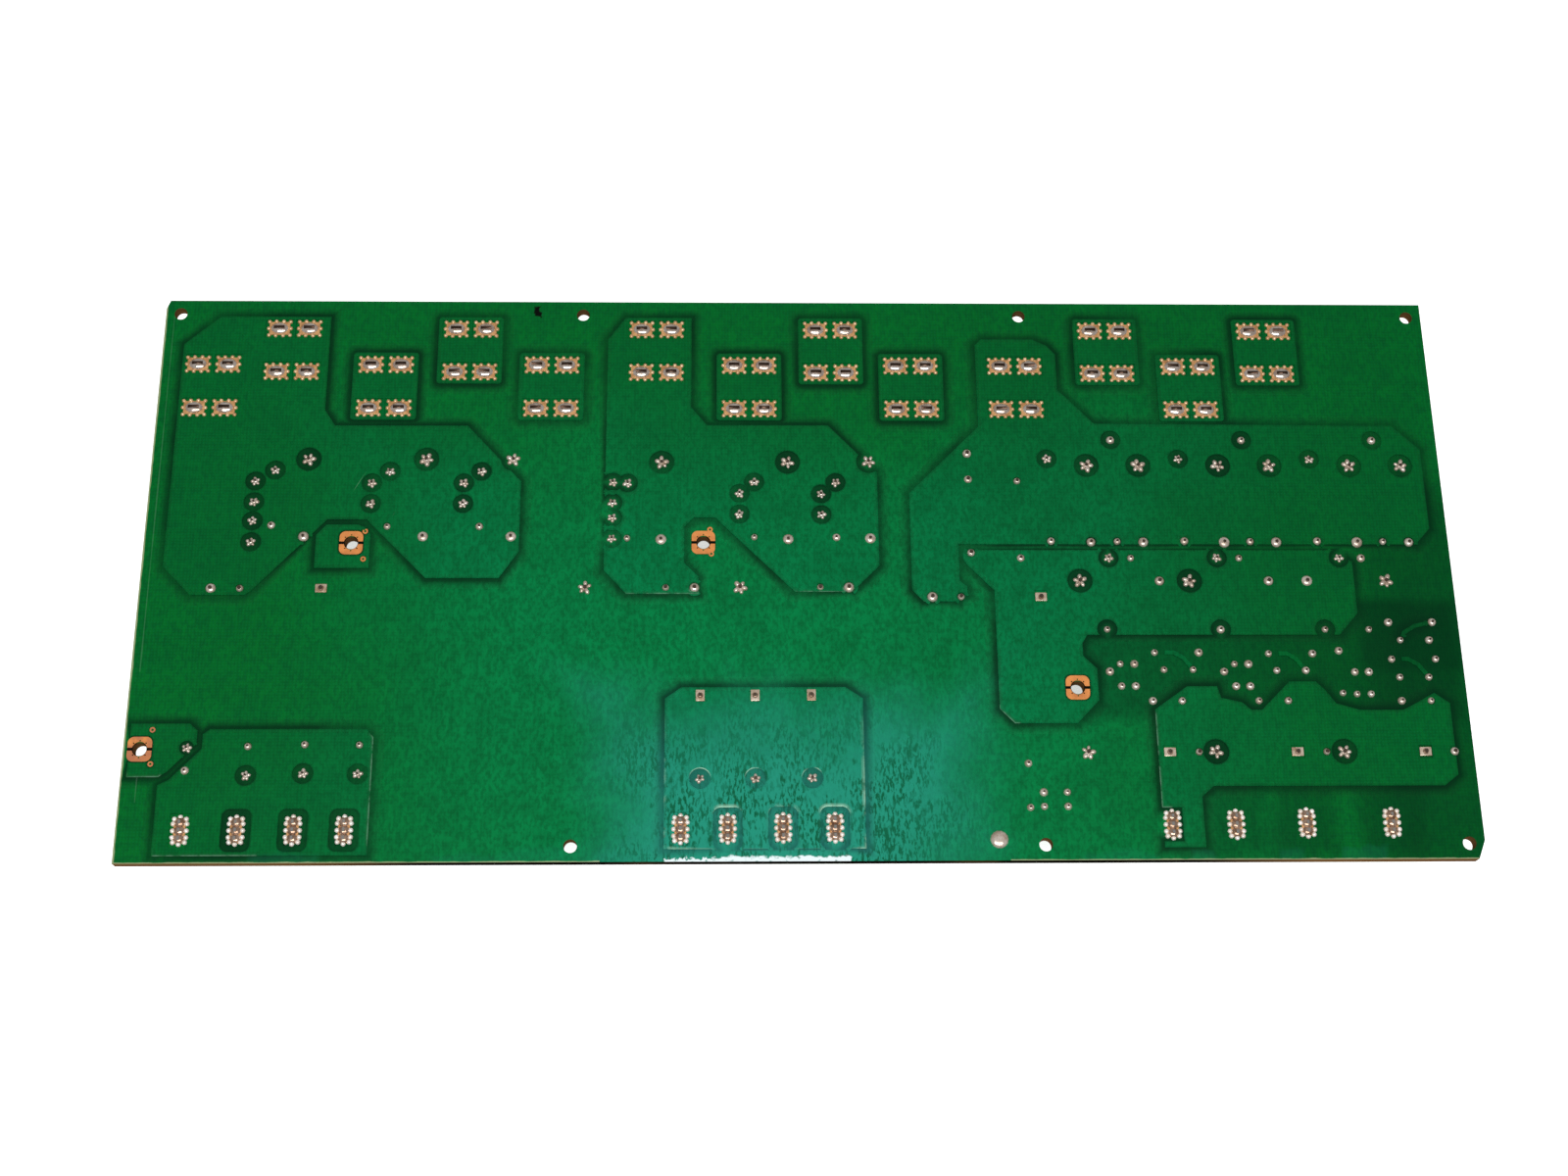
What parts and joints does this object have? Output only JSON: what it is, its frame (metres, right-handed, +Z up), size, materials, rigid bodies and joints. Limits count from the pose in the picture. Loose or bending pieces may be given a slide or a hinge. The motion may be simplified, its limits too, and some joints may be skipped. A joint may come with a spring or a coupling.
{
  "type": "emi filter board",
  "caption": "Mains filter circuit board lying solder side up: green laminate with heavy copper, screw and tab terminals, film capacitors and varistor blocks hanging below.",
  "frame": {"origin": "centre of the footprint, on the surface the board lies on", "axes": "+X along the board to the right of the picture, +Y from the front edge with the tabs to the rear edge with the screw terminals, +Z up, from the component side to the solder side"},
  "size_m": [0.43, 0.195, 0.0335],
  "materials": {
    "masked_laminate": "green lacquer over woven laminate",
    "solder_mask": "semi-gloss green lacquer over copper",
    "bare_copper": "bare copper, a little dull",
    "solder": "shiny solder",
    "tinned_steel": "tin plated",
    "tinned_brass": "tin plated",
    "capacitor_case": "moulded case",
    "varistor_case": "moulded case",
    "disc_coating": "dipped coating",
    "varistor_coating": "dipped coating",
    "resistor_coating": "cement and lacquer",
    "isolator_resin": "moulded resin"
  },
  "bodies": {
    "root": {"circuit_board": "masked_laminate", "copper_layer": "solder_mask", "ground_lands": "bare_copper", "solder_joints": "solder", "rear_terminal_1": "tinned_steel", "rear_terminal_2": "tinned_steel", "rear_terminal_3": "tinned_steel", "rear_terminal_4": "tinned_steel", "rear_terminal_5": "tinned_steel", "rear_terminal_6": "tinned_steel", "rear_terminal_7": "tinned_steel", "rear_terminal_8": "tinned_steel", "rear_terminal_9": "tinned_steel", "rear_terminal_10": "tinned_steel", "rear_terminal_11": "tinned_steel", "rear_terminal_12": "tinned_steel", "rear_terminal_13": "tinned_steel", "front_tab_1": "tinned_brass", "front_tab_2": "tinned_brass", "front_tab_3": "tinned_brass", "front_tab_4": "tinned_brass", "front_tab_5": "tinned_brass", "front_tab_6": "tinned_brass", "front_tab_7": "tinned_brass", "front_tab_8": "tinned_brass", "front_tab_9": "tinned_brass", "front_tab_10": "tinned_brass", "front_tab_11": "tinned_brass", "front_tab_12": "tinned_brass", "film_capacitor_1": "capacitor_case", "film_capacitor_2": "capacitor_case", "film_capacitor_3": "capacitor_case", "film_capacitor_4": "capacitor_case", "film_capacitor_5": "capacitor_case", "film_capacitor_6": "capacitor_case", "film_capacitor_7": "capacitor_case", "film_capacitor_8": "capacitor_case", "film_capacitor_9": "capacitor_case", "film_capacitor_10": "capacitor_case", "film_capacitor_11": "capacitor_case", "film_capacitor_12": "capacitor_case", "film_capacitor_13": "capacitor_case", "film_capacitor_14": "capacitor_case", "film_capacitor_15": "capacitor_case", "film_capacitor_16": "capacitor_case", "varistor_1": "varistor_case", "varistor_2": "varistor_case", "varistor_3": "varistor_case", "varistor_4": "varistor_case", "varistor_5": "varistor_case", "varistor_6": "varistor_case", "varistor_7": "varistor_case", "varistor_8": "varistor_case", "varistor_9": "varistor_case", "varistor_10": "varistor_case", "varistor_11": "varistor_case", "disc_capacitors": "disc_coating", "disc_varistors": "varistor_coating", "axial_resistors": "resistor_coating", "optical_isolators": "isolator_resin"}
  },
  "joints": []
}
